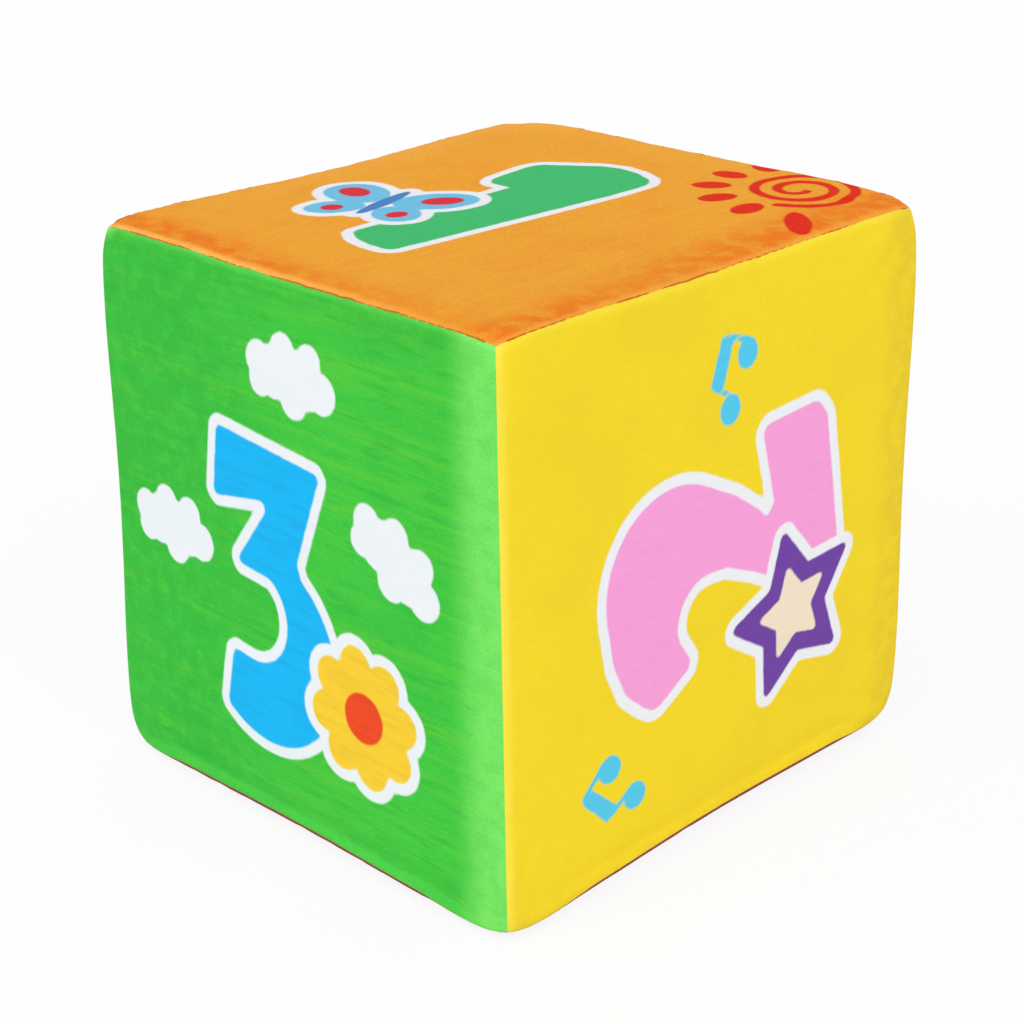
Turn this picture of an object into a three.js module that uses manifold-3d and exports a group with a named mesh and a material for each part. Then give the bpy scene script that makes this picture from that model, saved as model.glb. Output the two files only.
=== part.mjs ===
// Soft die: a foam block in a sewn plush cover of six panels and twelve seams.
// Millimetres, +Z up, origin at the middle of the underside.

import * as THREE from 'three';
import { mergeGeometries, mergeVertices } from 'three/addons/utils/BufferGeometryUtils.js';
import Module from 'manifold-3d';

const { clamp, degToRad, lerp } = THREE.MathUtils;

// Driving dimensions
const EDGE = 150;             // across two opposite faces
const FABRIC = 1.6;           // thickness of the plush
const CROWN = 1.0;            // rise of a face from its rolled border to its flat middle
const CROWN_SPAN = 30;        // width of that rising border
const ROLL_RADIUS = 5;        // round of a panel over the edge of the foam
const ROLL_TURN = 28;         // degrees that the panel turns on that radius
const FOLD_RADIUS = 1.2;      // tight turn of the cloth into the seam
const FOLD_EASE = 0.4;        // extra cloth bunched inside that turn
const SEAM_BOW = 0.6;         // how far a seam is drawn in midway along its edge
const CORNER_DRAW = 2.5;      // how far the three seams are drawn in where they meet
const CORNER_SPAN = 16;       // length of seam over which a corner rounds off
const ALLOWANCE = 8;          // cloth turned in beyond the seam
const CLIPPED_ALLOWANCE = 1.6; // what the clipped corners leave of it
const THREAD = 0.4;           // diameter of the sewing thread
const THREAD_STOP = 4;        // seam left free at each corner
const CLEARANCE = 0.3;        // between pieces that touch

// Facets: steps along one side of a panel, and round and along a thread
const CORNER_STEPS = 3;
const SIDE_STEPS = 3;
const THREAD_SIDES = 6;
const THREAD_STEPS = 14;
const WELD = 0.003;           // points closer than this are one point

const PANELS = [
  { name: 'top', normal: [0, 0, 1], side: [1, 0, 0], colour: 0xec9a33 },
  { name: 'bottom', normal: [0, 0, -1], side: [1, 0, 0], colour: 0xdc4f63 },
  { name: 'front', normal: [0, -1, 0], side: [1, 0, 0], colour: 0x40c644 },
  { name: 'back', normal: [0, 1, 0], side: [-1, 0, 0], colour: 0x9b74d0 },
  { name: 'right', normal: [1, 0, 0], side: [0, 1, 0], colour: 0xf2d82a },
  { name: 'left', normal: [-1, 0, 0], side: [0, -1, 0], colour: 0x55bdec },
];

const plush = (colour) => new THREE.MeshStandardMaterial({ color: colour, roughness: 0.95, metalness: 0 });
const FOAM = new THREE.MeshStandardMaterial({ color: 0xf3ecd8, roughness: 1, metalness: 0 });
const SEWING_THREAD = new THREE.MeshStandardMaterial({ color: 0xb9812c, roughness: 0.6, metalness: 0 });

// Section of a panel across the middle of one edge, in the plane of X and Z, for the
// top panel where it meets the right one. The two mirror each other in the plane x = z.
// Offsets are taken from the seam, the point where that plane is reached.

const HALF = EDGE / 2;
const crownAngle = Math.atan(2 * CROWN / CROWN_SPAN);
const rollAngle = degToRad(ROLL_TURN);
const foldAngle = Math.PI / 2 + Math.PI / 4;   // where the fold runs along the mitre plane
const clothGap = CLEARANCE / 2;
const foldOffset = (FOLD_RADIUS + clothGap) / Math.SQRT2;

const onArc = (centre, radius, angle) => ({
  x: centre.x + radius * Math.sin(angle),
  z: centre.z + radius * Math.cos(angle),
});

const foldCentre = { x: -foldOffset, z: foldOffset };
const rollCentre = onArc(foldCentre, FOLD_RADIUS - ROLL_RADIUS, rollAngle);
const rollStart = onArc(rollCentre, ROLL_RADIUS, crownAngle);
const SEAM = HALF - CROWN - rollStart.z;

const alongFold = (share) => onArc(foldCentre, FOLD_RADIUS, lerp(rollAngle, foldAngle, share));
const alongRoll = (share) => onArc(rollCentre, ROLL_RADIUS, lerp(crownAngle, rollAngle, share));

// A point of the crowned border, so far in from the start of the roll
function onCrown(inset) {
  const share = inset / CROWN_SPAN;
  return {
    x: rollStart.x - inset,
    z: rollStart.z + CROWN * (1 - (1 - share) ** 2),
    round: share,
  };
}

// A side of a panel runs from corner to corner, along = -1 to 1

const cornerReach = SEAM - CORNER_DRAW;
const cornerStart = 1 - CORNER_SPAN / cornerReach;
const cornerShare = (along) => Math.max(0, (Math.abs(along) - cornerStart) / (1 - cornerStart));

// Distance of the seam from the middle of the cube, bowed in midway and drawn in at its ends
function seamAt(along) {
  return SEAM + SEAM_BOW * along ** 2 - (SEAM_BOW + CORNER_DRAW) * cornerShare(along) ** 2;
}

// A line round a panel at an offset of the section. Lines further in have rounder corners,
// and the drop of the seam at a corner runs out towards the flat middle.
function faceLine({ x, z, round = 0 }, drop = 0) {
  const bow = SEAM_BOW * (1 - round);
  const draw = lerp(CORNER_DRAW, CORNER_SPAN / 2, round);
  const inwards = clamp(-x / CORNER_SPAN, 0, 1);
  const seamDropShare = (1 - inwards) ** 2;
  return (along) => new THREE.Vector3(
    SEAM + x + bow * along ** 2 - (bow + draw) * cornerShare(along) ** 2,
    along * (SEAM + x - draw),
    lerp(SEAM, seamAt(along), seamDropShare) + z - drop,
  );
}

// A line round a panel at a distance from the mitre planes, at the height that is given
function mitreLine(distance, heightAt) {
  const inset = distance * Math.SQRT2;
  return (along) => new THREE.Vector3(
    heightAt(along) - inset,
    along * (heightAt(1) - inset),
    heightAt(along),
  );
}

// Depth of the turned-in cloth, clipped at an angle towards the corners
function allowanceAt(along) {
  return Math.min(ALLOWANCE, CLIPPED_ALLOWANCE + (1 - Math.abs(along)) * cornerReach);
}

// Height of the turned-in cloth at a distance from the mitre plane and a depth below the seam
const turnedHeight = (distance, depthAt) => (along) => (
  seamAt(along) + (distance - depthAt(along)) / Math.SQRT2
);

const backDistance = clothGap + FABRIC;
const foldBack = faceLine(rollStart, FABRIC + FOLD_EASE);
const foldBackHeight = (along) => foldBack(along).z;
const foldBackOffset = rollStart.z - FABRIC - FOLD_EASE - backDistance * Math.SQRT2;
const backStart = Math.max(0, rollStart.x - foldBackOffset + FABRIC);

// Insets at which lines run round the crowned border, from the flat middle outwards
const crownInsets = (start) => [1, 1 / 2, 1 / 5].map((share) => lerp(start, CROWN_SPAN, share));
const backInsets = [...crownInsets(backStart), backStart];

// The outer surface, from the flat middle to the raw edge of the turned-in cloth
const outerLines = [
  ...crownInsets(0).map((inset) => faceLine(onCrown(inset))),
  faceLine(rollStart),
  faceLine(alongRoll(1 / 2)),
  faceLine(alongFold(0)),
  faceLine(alongFold(1 / 3)),
  faceLine(alongFold(2 / 3)),
  mitreLine(clothGap, turnedHeight(clothGap, () => 0)),
  mitreLine(clothGap, turnedHeight(clothGap, allowanceAt)),
];

// The back of the cloth, from that raw edge to the middle
const backLines = [
  mitreLine(backDistance, turnedHeight(backDistance, allowanceAt)),
  mitreLine(backDistance, foldBackHeight),
  ...backInsets.toReversed().map((inset) => faceLine(onCrown(inset), FABRIC)),
];

// The foam under one panel, from the middle to the mitre planes, where six such faces meet
const foamLines = [
  ...backInsets.map((inset) => faceLine(onCrown(inset), FABRIC + CLEARANCE)),
  mitreLine(backDistance, (along) => foldBackHeight(along) - CLEARANCE),
  mitreLine(0, (along) => foldBackHeight(along) - CLEARANCE),
];

// Stations along a side, closer together where the corner rounds off
function sideStations() {
  const stations = [];
  for (let i = 0; i < CORNER_STEPS; i++) {
    stations.push(lerp(-1, -cornerStart, i / CORNER_STEPS));
  }
  for (let i = 0; i < SIDE_STEPS; i++) {
    stations.push(lerp(-cornerStart, cornerStart, i / SIDE_STEPS));
  }
  for (let i = 0; i < CORNER_STEPS; i++) {
    stations.push(lerp(cornerStart, 1, i / CORNER_STEPS));
  }
  return stations;
}

// The points of a line on all four sides of a panel, anticlockwise from above
function loopOf(line) {
  const points = [];
  for (let quarter = 0; quarter < 4; quarter++) {
    for (const along of sideStations()) {
      const { x, y, z } = line(along);
      const corner = [[x, y], [-y, x], [-x, -y], [y, -x]][quarter];
      points.push(new THREE.Vector3(...corner, z));
    }
  }
  return points;
}

// Triangles of a flat lid over a loop, seen from above
function lidOf(loop, firstIndex, facingDown) {
  const outline = loop.map((point) => new THREE.Vector2(point.x, point.y));
  const triangles = THREE.ShapeUtils.triangulateShape(outline, []);
  return triangles.flatMap((triangle) => {
    const indices = triangle.map((index) => index + firstIndex);
    return facingDown ? indices.reverse() : indices;
  });
}

// A surface through a row of loops with a flat lid on the first, and one on the last to close it
function surfaceThrough(loops, closed) {
  const count = loops[0].length;
  const last = count * (loops.length - 1);
  const indices = lidOf(loops[0], 0, false);
  for (let start = 0; start < last; start += count) {
    for (let i = 0; i < count; i++) {
      const here = start + i;
      const next = start + (i + 1) % count;
      indices.push(here, here + count, next + count);
      indices.push(here, next + count, next);
    }
  }
  if (closed) {
    indices.push(...lidOf(loops.at(-1), last, true));
  }
  const geometry = new THREE.BufferGeometry().setFromPoints(loops.flat());
  return geometry.setIndex(indices);
}

// Turns +Z to one direction and +X to another that is square to it
function turnTo(normal, side) {
  const z = new THREE.Vector3(...normal);
  const x = new THREE.Vector3(...side);
  return new THREE.Matrix4().makeBasis(x, z.clone().cross(x), z);
}

// Pairs of panels that share an edge
function edgePairs() {
  const pairs = [];
  PANELS.forEach((first, index) => {
    for (const second of PANELS.slice(index + 1)) {
      const across = new THREE.Vector3(...first.normal).dot(new THREE.Vector3(...second.normal));
      if (across === 0) {
        pairs.push([first, second]);
      }
    }
  });
  return pairs;
}

// The space that the turned-in cloth of one seam presses into the foam, open to the outside
function channelGeometry() {
  const rawEdge = mitreLine(0, (along) => turnedHeight(0, allowanceAt)(along) - CLEARANCE / Math.SQRT2);
  const halfWidth = (backDistance + CLEARANCE) / Math.SQRT2;
  const stations = [...sideStations(), 1].map((along) => {
    const { x, y } = rawEdge(along);
    return { bottom: x, y };
  });
  const { bottom } = stations[0];
  const lengths = [{ bottom, y: -EDGE }, ...stations, { bottom, y: EDGE }];
  const points = lengths.flatMap(({ bottom: low, y }) => [
    new THREE.Vector3(low + halfWidth, y, low - halfWidth),
    new THREE.Vector3(EDGE + halfWidth, y, EDGE - halfWidth),
    new THREE.Vector3(EDGE - halfWidth, y, EDGE + halfWidth),
    new THREE.Vector3(low - halfWidth, y, low + halfWidth),
  ]);
  const end = points.length - 4;
  const indices = [0, 1, 2, 0, 2, 3, end, end + 2, end + 1, end, end + 3, end + 2];
  for (let start = 0; start < end; start += 4) {
    for (let i = 0; i < 4; i++) {
      const here = start + i;
      const next = start + (i + 1) % 4;
      indices.push(here, next + 4, next);
      indices.push(here, here + 4, next + 4);
    }
  }
  return new THREE.BufferGeometry().setFromPoints(points).setIndex(indices);
}

const wasm = await Module();
wasm.setup();

// Joins and cuts on closed meshes
function toSolid(geometry) {
  const merged = mergeVertices(geometry, WELD);
  return new wasm.Manifold(new wasm.Mesh({
    numProp: 3,
    vertProperties: new Float32Array(merged.attributes.position.array),
    triVerts: new Uint32Array(merged.index.array),
  }));
}

function toGeometry(solid) {
  const { vertProperties, triVerts } = solid.getMesh();
  const geometry = new THREE.BufferGeometry();
  geometry.setAttribute('position', new THREE.BufferAttribute(vertProperties, 3));
  return geometry.setIndex(new THREE.BufferAttribute(triVerts, 1));
}

// The foam block, crowned like its cover, with a channel along each of its twelve edges
function foamGeometry() {
  const face = surfaceThrough(foamLines.map(loopOf), false);
  const faces = PANELS.map(({ normal, side }) => face.clone().applyMatrix4(turnTo(normal, side)));
  let solid = toSolid(mergeGeometries(faces));
  for (const [first, second] of edgePairs()) {
    const channel = channelGeometry().applyMatrix4(turnTo(first.normal, second.normal));
    solid = solid.subtract(toSolid(channel));
  }
  return toGeometry(solid);
}

// A plush panel with its rolled border and turned-in seam allowances
function panelGeometry() {
  return surfaceThrough([...outerLines, ...backLines].map(loopOf), true);
}

// The thread of one seam, lying in the crease between two panels
function threadGeometry() {
  const centreDistance = FOLD_RADIUS + clothGap;
  const reach = FOLD_RADIUS + CLEARANCE + THREAD / 2;
  const rise = Math.sqrt(reach ** 2 - centreDistance ** 2) / Math.SQRT2;
  const sewn = 1 - THREAD_STOP / cornerReach;
  const route = [];
  for (let i = 0; i <= THREAD_STEPS; i++) {
    const along = sewn * Math.sin(Math.PI * (i / THREAD_STEPS - 1 / 2));
    const out = seamAt(along) + rise;
    route.push(new THREE.Vector3(out, along * cornerReach, out));
  }
  const outline = [];
  for (let i = 0; i < THREAD_SIDES; i++) {
    const angle = 2 * Math.PI * i / THREAD_SIDES;
    outline.push(new THREE.Vector2(Math.cos(angle), Math.sin(angle)).multiplyScalar(THREAD / 2));
  }
  const extrudePath = new THREE.CatmullRomCurve3(route);
  return new THREE.ExtrudeGeometry(new THREE.Shape(outline), { steps: THREAD_STEPS, extrudePath });
}

const die = new THREE.Group();
die.position.z = HALF;

function addPiece(name, geometry, material, turn = new THREE.Matrix4()) {
  const piece = new THREE.Mesh(geometry, material);
  piece.name = name;
  piece.quaternion.setFromRotationMatrix(turn);
  die.add(piece);
}

addPiece('foam_core', foamGeometry(), FOAM);

const panel = panelGeometry();
for (const { name, normal, side, colour } of PANELS) {
  addPiece(`${name}_panel`, panel, plush(colour), turnTo(normal, side));
}

const thread = threadGeometry();
for (const [first, second] of edgePairs()) {
  const turn = turnTo(first.normal, second.normal);
  addPiece(`seam_thread_${first.name}_${second.name}`, thread, SEWING_THREAD, turn);
}

const part = new THREE.Group();
part.add(die);

export default part;
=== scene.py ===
"""Soft play die: a foam block in a plush cover of six printed panels, sewn along every edge.

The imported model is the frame. Sizes inside the classes are millimetres, as a pattern cutter
writes them, and meshes are handed to Blender in metres.
"""

import logging
import math
from dataclasses import dataclass
from enum import Enum
from itertools import combinations, product
from typing import Callable, Sequence

import bpy
import numpy as np
from mathutils import Matrix, Vector


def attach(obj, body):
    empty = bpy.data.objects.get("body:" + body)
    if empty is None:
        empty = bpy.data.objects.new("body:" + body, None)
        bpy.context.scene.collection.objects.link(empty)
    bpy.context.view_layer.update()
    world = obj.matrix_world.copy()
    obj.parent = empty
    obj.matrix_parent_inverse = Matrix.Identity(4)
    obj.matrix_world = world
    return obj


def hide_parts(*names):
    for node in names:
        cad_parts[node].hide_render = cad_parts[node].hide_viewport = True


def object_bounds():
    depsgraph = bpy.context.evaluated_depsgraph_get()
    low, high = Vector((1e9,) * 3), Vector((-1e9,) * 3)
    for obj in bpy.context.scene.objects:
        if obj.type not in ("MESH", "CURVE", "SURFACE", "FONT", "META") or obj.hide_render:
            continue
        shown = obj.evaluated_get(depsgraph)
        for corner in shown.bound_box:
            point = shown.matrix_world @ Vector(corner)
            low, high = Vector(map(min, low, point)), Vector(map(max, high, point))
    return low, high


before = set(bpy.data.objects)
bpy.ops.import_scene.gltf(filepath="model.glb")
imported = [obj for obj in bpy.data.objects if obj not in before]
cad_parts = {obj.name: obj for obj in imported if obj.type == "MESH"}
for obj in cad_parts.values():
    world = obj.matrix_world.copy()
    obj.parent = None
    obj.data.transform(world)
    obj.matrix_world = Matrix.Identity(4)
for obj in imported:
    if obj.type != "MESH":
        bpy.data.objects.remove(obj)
CAD_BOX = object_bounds()

LOG = logging.getLogger("soft_die")
MM = 0.001
TINY = 1e-12
BODY = "root"

Array = np.ndarray
Point = tuple[float, float]
Colour = tuple[float, float, float]
Offset = tuple[float, float, float]
Signs = tuple[int, int, int]
Socket = bpy.types.NodeSocket


def srgb(red: int, green: int, blue: int) -> Colour:
    """Turns a display colour into Blender's linear values.

    Args:
        red: red from 0 to 255.
        green: green from 0 to 255.
        blue: blue from 0 to 255.

    Returns:
        The same colour in linear light.
    """
    shares = np.array([red, green, blue]) / 255
    linear = np.where(shares <= 0.04045, shares / 12.92, ((shares + 0.055) / 1.055) ** 2.4)
    return tuple(float(share) for share in linear)


def smooth_step(low: float, high: float, value: Array) -> Array:
    """Rises smoothly from 0 at one value to 1 at another.

    Args:
        low: value where the rise starts.
        high: value where the rise ends.
        value: where it is read.

    Returns:
        Shares from 0 to 1.
    """
    share = np.clip((value - low) / (high - low), 0, 1)
    return share * share * (3 - 2 * share)


class Face(Enum):
    """A face of the die: its name, and its outward, rightward and upward directions."""

    TOP = ("top", (0, 0, 1), (1, 0, 0), (0, 1, 0))
    BOTTOM = ("bottom", (0, 0, -1), (1, 0, 0), (0, -1, 0))
    FRONT = ("front", (0, -1, 0), (1, 0, 0), (0, 0, 1))
    BACK = ("back", (0, 1, 0), (-1, 0, 0), (0, 0, 1))
    RIGHT = ("right", (1, 0, 0), (0, 1, 0), (0, 0, 1))
    LEFT = ("left", (-1, 0, 0), (0, -1, 0), (0, 0, 1))

    @property
    def word(self) -> str:
        """The plain name of the face."""
        return self.value[0]

    @property
    def normal(self) -> Array:
        """The outward direction."""
        return np.array(self.value[1], float)

    @property
    def axes(self) -> Array:
        """Rows of the rightward, upward and outward directions."""
        _, outward, rightward, upward = self.value
        return np.array([rightward, upward, outward], float)

    @property
    def number(self) -> int:
        """The place of the face in the list of faces."""
        return list(Face).index(self)


def seam_pairs() -> list[tuple[Face, Face]]:
    """The pairs of faces that share an edge of the die."""
    return [pair for pair in combinations(Face, 2) if pair[0].normal @ pair[1].normal == 0]


class ClothNoise:
    """Smooth seeded noise over the cloth, from -1 to 1."""

    LATTICE = 64

    def __init__(self, seed: int) -> None:
        """Draws the lattice.

        Args:
            seed: number that fixes the pattern.
        """
        self.values = np.random.default_rng(seed).uniform(-1, 1, (self.LATTICE, self.LATTICE))

    def at(self, x: Array, y: Array, length: float) -> Array:
        """Reads the noise.

        Args:
            x: first cloth coordinate.
            y: second cloth coordinate.
            length: distance between neighbouring humps.

        Returns:
            The noise at each point.
        """
        column = np.floor(x / length).astype(int)
        row = np.floor(y / length).astype(int)
        across = smooth_step(0, 1, x / length - column)
        along = smooth_step(0, 1, y / length - row)

        def corner(step_x: int, step_y: int) -> Array:
            """The lattice value at one corner of each cell."""
            return self.values[(column + step_x) % self.LATTICE, (row + step_y) % self.LATTICE]

        low = corner(0, 0) * (1 - across) + corner(1, 0) * across
        high = corner(0, 1) * (1 - across) + corner(1, 1) * across
        return low * (1 - along) + high * along


@dataclass(frozen=True)
class SewnSkew:
    """How far the sewn cover stands off a true cube at its corners and along its edges.

    A pull names a corner by its signs along X, Y and Z, and fades evenly towards the others. A
    bow names an edge in the same way, with 0 along it, and is strongest at its middle.
    """

    pulls: tuple[tuple[Signs, Offset], ...] = (
        ((-1, -1, 1), (2.0, 1.5, -0.5)),
        ((-1, 1, 1), (3.0, 2.5, -0.5)),
        ((1, -1, -1), (-0.5, -1.0, 0.0)),
        ((-1, -1, -1), (-1.0, -2.5, 0.0)),
        ((1, 1, -1), (-1.5, 1.0, 2.5)),
    )
    bows: tuple[tuple[Signs, Offset], ...] = (
        ((-1, 0, 1), (0.0, 0.0, -0.5)),
        ((0, 1, 1), (0.0, 0.0, 1.5)),
        ((1, 1, 0), (0.5, 0.5, 0.0)),
        ((1, 0, -1), (-0.5, 0.0, 0.0)),
        ((0, -1, -1), (0.0, -1.0, 0.0)),
    )

    def moved(self, points: Array, half: float) -> Array:
        """Moves points with the corners and edges round them.

        Args:
            points: places measured from the middle of the cube.
            half: half of the cube's edge.

        Returns:
            The places on the sewn cover.
        """
        share = np.clip(points / half, -1, 1)
        out = points.copy()
        for signs, pull in self.pulls:
            weight = np.prod((1 + share * signs) / 2, axis=1)
            out += weight[:, None] * np.array(pull)
        for signs, bow in self.bows:
            beside = ((1 + share * signs) / 2) ** 2
            weight = np.prod(np.where(np.array(signs) == 0, 1 - share**2, beside), axis=1)
            out += weight[:, None] * np.array(bow)
        return out


@dataclass(frozen=True)
class DieForm:
    """The sewn form: a panel's section over the edge of the foam, and how its seams are drawn in.

    The section lies across the middle of an edge. Its offsets start at the seam, x outwards in
    the plane of the panel and z out of it, and the neighbouring panel mirrors it.
    """

    edge: float
    fabric: float = 1.6
    crown: float = 1.0
    crown_span: float = 30.0
    roll_radius: float = 5.0
    roll_turn: float = math.radians(30)
    seam_turn: float = math.radians(135)
    fold_radius: float = 0.3
    fold_fabric: float = 0.25
    pile_press: float = 0.12
    seam_gap: float = 0.02
    seam_bow: float = 0.6
    seam_bow_span: float = 12.0
    corner_power: float = 2.8
    corner_run: float = 4.0
    corner_draw: float = 0.5
    corner_span: float = 4.5
    stray: float = 0.14
    stray_length: float = 3.2
    stray_span: float = 3.5
    stray_seed: int = 300
    slip_turn: float = math.radians(36)
    slip_radius: float = 3.9
    slip_span: float = 5.0
    seam_fade_from: float = 0.6
    seam_fade_to: float = 0.97
    allowance: float = 8.0
    clipped_allowance: float = 1.6
    turned_in_lines: int = 4
    fold_lines: int = 5
    roll_lines: int = 3
    skew: SewnSkew = SewnSkew()

    @property
    def half(self) -> float:
        """Half of the edge."""
        return self.edge / 2

    @property
    def crown_angle(self) -> float:
        """Slope of the crowned border where the roll starts."""
        return math.atan(2 * self.crown / self.crown_span)

    @property
    def fold_centre(self) -> Array:
        """Middle of the tight turn into the seam, where the piles press into each other."""
        offset = (self.fold_radius - self.pile_press) / math.sqrt(2)
        return np.array([-offset, offset])

    @property
    def roll_centre(self) -> Array:
        """Middle of the roll over the edge of the foam."""
        turn = np.array([math.sin(self.roll_turn), math.cos(self.roll_turn)])
        return self.fold_centre + (self.fold_radius - self.roll_radius) * turn

    @property
    def roll_start(self) -> Array:
        """Where the crowned border meets the roll."""
        turn = np.array([math.sin(self.crown_angle), math.cos(self.crown_angle)])
        return self.roll_centre + self.roll_radius * turn

    @property
    def seam(self) -> float:
        """Distance of a seam from the middle of the cube, along both faces."""
        return self.half - self.crown - float(self.roll_start[1])

    @property
    def fold_length(self) -> float:
        """Cloth in the tight turn."""
        return self.fold_radius * (self.seam_turn - self.roll_turn)

    @property
    def roll_length(self) -> float:
        """Cloth in the roll."""
        return self.roll_radius * (self.roll_turn - self.crown_angle)

    @property
    def reach(self) -> float:
        """Cloth from the middle of a panel to its seam."""
        return self.fold_length + self.roll_length + self.seam + float(self.roll_start[0])

    @property
    def flat_side(self) -> float:
        """Side of the square that a panel is cut to."""
        return 2 * (self.reach + self.allowance)

    def stations(self, step: float) -> Array:
        """Cloth coordinates of the lines of a panel's grid, closer together in the fold and roll.

        Args:
            step: distance between lines on the open face.

        Returns:
            The coordinates from one raw edge to the other.
        """
        fold, roll = self.fold_length, self.fold_length + self.roll_length
        inward = [
            np.linspace(-self.allowance, 0, self.turned_in_lines, endpoint=False),
            np.linspace(0, fold, self.fold_lines, endpoint=False),
            np.linspace(fold, roll, self.roll_lines, endpoint=False),
            np.linspace(roll, self.reach, round((self.reach - roll) / step) + 1),
        ]
        half_grid = self.reach - np.concatenate(inward)
        return np.concatenate([-half_grid, half_grid[-2::-1]])

    def section(self, inward: Array) -> tuple[Array, Array]:
        """Follows the cloth in from the seam.

        Args:
            inward: length of cloth from the seam, 0 or more.

        Returns:
            Distance from the middle of the panel, and drop below the face.
        """
        fold, roll = self.fold_length, self.fold_length + self.roll_length
        fold_turn = self.seam_turn - inward / self.fold_radius
        roll_turn = self.roll_turn - (inward - fold) / self.roll_radius
        inset = inward - roll
        rise = 1 - (1 - np.clip(inset / self.crown_span, 0, 1)) ** 2
        parts = [inward < fold, inward < roll]
        x = np.select(
            parts,
            [
                self.fold_centre[0] + self.fold_radius * np.sin(fold_turn),
                self.roll_centre[0] + self.roll_radius * np.sin(roll_turn),
            ],
            self.roll_start[0] - inset,
        )
        z = np.select(
            parts,
            [
                self.fold_centre[1] + self.fold_radius * np.cos(fold_turn),
                self.roll_centre[1] + self.roll_radius * np.cos(roll_turn),
            ],
            self.roll_start[1] + self.crown * rise,
        )
        return self.seam + x, self.half - self.seam - z

    def turned_in(self, inward: Array, inward_across: Array) -> Array:
        """Depth of the turned-in cloth, clipped at an angle towards the corners.

        Args:
            inward: cloth from the seam, negative beyond it.
            inward_across: the same from the nearest seam that crosses it.

        Returns:
            Depth below the seam, along the plane between two panels.
        """
        kept = (self.clipped_allowance + np.clip(inward_across, 0, None)) / self.allowance
        return np.clip(-inward, 0, None) * np.clip(kept, 0, 1)

    def drawn(self, first: Array, second: Array) -> Array:
        """Joins the drops of two crossing borders into one rounded corner."""
        power = self.corner_power
        return (np.clip(first, 0, None) ** power + np.clip(second, 0, None) ** power) ** (1 / power)

    def surface(self, a: Array, b: Array) -> Array:
        """Places points of the cloth of one panel.

        Args:
            a: cloth coordinates to the right of the panel's middle.
            b: cloth coordinates above it.

        Returns:
            Rows of places to the right, up and out from the middle of the cube.
        """
        in_a = self.reach - np.abs(a)
        in_b = self.reach - np.abs(b)
        seam_drop = self.section(np.zeros(1))[1][0]
        side_a, drop_a = self.section(np.clip(in_a, 0, None))
        side_b, drop_b = self.section(np.clip(in_b, 0, None))
        turned_a = self.turned_in(in_a, in_b)
        turned_b = self.turned_in(in_b, in_a)
        drop = self.drawn(drop_a + turned_a / math.sqrt(2), drop_b + turned_b / math.sqrt(2))
        pull_a = self.drawn(seam_drop, drop_b) - seam_drop
        pull_b = self.drawn(seam_drop, drop_a) - seam_drop
        out_a = side_a - pull_a * (side_a / self.seam) ** self.corner_run
        out_b = side_b - pull_b * (side_b / self.seam) ** self.corner_run
        bow_a = self.bow(in_a, side_b)
        bow_b = self.bow(in_b, side_a)
        drop = drop - bow_a - bow_b
        mitre = self.half - drop - self.seam_gap * math.sqrt(2)
        out_a = np.where(turned_a > 0, mitre, out_a + bow_a)
        out_b = np.where(turned_b > 0, mitre, out_b + bow_b)
        return np.stack([np.sign(a) * out_a, np.sign(b) * out_b, self.half - drop], axis=-1)

    def bow(self, inward: Array, along: Array) -> Array:
        """How far a seam stands out towards its ends, where it isn't drawn in as midway.

        Args:
            inward: cloth from the seam.
            along: distance from the middle of the seam.

        Returns:
            The offset out of both faces.
        """
        share = np.clip(along / self.seam, 0, 1) ** 2
        return self.seam_bow * 4 * share * (1 - share) * np.exp(-((inward / self.seam_bow_span) ** 2))

    def rounded(self, points: Array) -> Array:
        """Draws the eight corners in towards the middle of the cube.

        Args:
            points: places from the middle of the cube.

        Returns:
            The places with the corners rounded off.
        """
        from_corner = (np.abs(points) - self.seam) / self.corner_span
        near = np.exp(-(from_corner**2).sum(axis=1))
        return points - np.sign(points) * (self.corner_draw * near)[:, None]

    def near_seam(self, points: Array, first: Face, second: Face, span: float) -> tuple[Array, Array]:
        """Measures points against one seam.

        Args:
            points: places from the middle of the cube.
            first: face on one side of the seam.
            second: face on the other side.
            span: distance at which the nearness has faded to about a third.

        Returns:
            Distances along the seam, and nearness to it from 0 to 1, none at its ends.
        """
        along = points @ np.cross(first.normal, second.normal)
        away = [points @ face.normal - self.seam for face in (first, second)]
        near = np.exp(-(away[0] ** 2 + away[1] ** 2) / span**2)
        fade_from, fade_to = self.seam_fade_from * self.seam, self.seam_fade_to * self.seam
        return along, near * (1 - smooth_step(fade_from, fade_to, np.abs(along)))

    def strayed(self, points: Array) -> Array:
        """Lets the seams of the top stray to either side.

        Args:
            points: places from the middle of the cube.

        Returns:
            The places moved with the seam next to them.
        """
        out = points.copy()
        for number, (first, second) in enumerate(seam_pairs()):
            if first is not Face.TOP:
                continue
            along, near = self.near_seam(points, first, second, self.stray_span)
            noise = ClothNoise(self.stray_seed + number)
            shift = self.stray * noise.at(along, np.zeros_like(along), self.stray_length)
            out += (shift * near)[:, None] * (second.normal - first.normal) / math.sqrt(2)
        return out

    def slipped(self, points: Array) -> Array:
        """Turns the seams of the underside up round the edges that they lie on.

        Args:
            points: places from the middle of the cube.

        Returns:
            The places moved with the seam next to them.
        """
        out = points.copy()
        centre = self.seam - self.slip_radius / math.sqrt(2)
        for first, second in seam_pairs():
            if first is not Face.BOTTOM:
                continue
            turn = self.slip_turn * self.near_seam(points, first, second, self.slip_span)[1]
            down, side = points @ first.normal - centre, points @ second.normal - centre
            sink = down * (np.cos(turn) - 1) - side * np.sin(turn)
            spread = side * (np.cos(turn) - 1) + down * np.sin(turn)
            out += sink[:, None] * first.normal + spread[:, None] * second.normal
        return out

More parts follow.
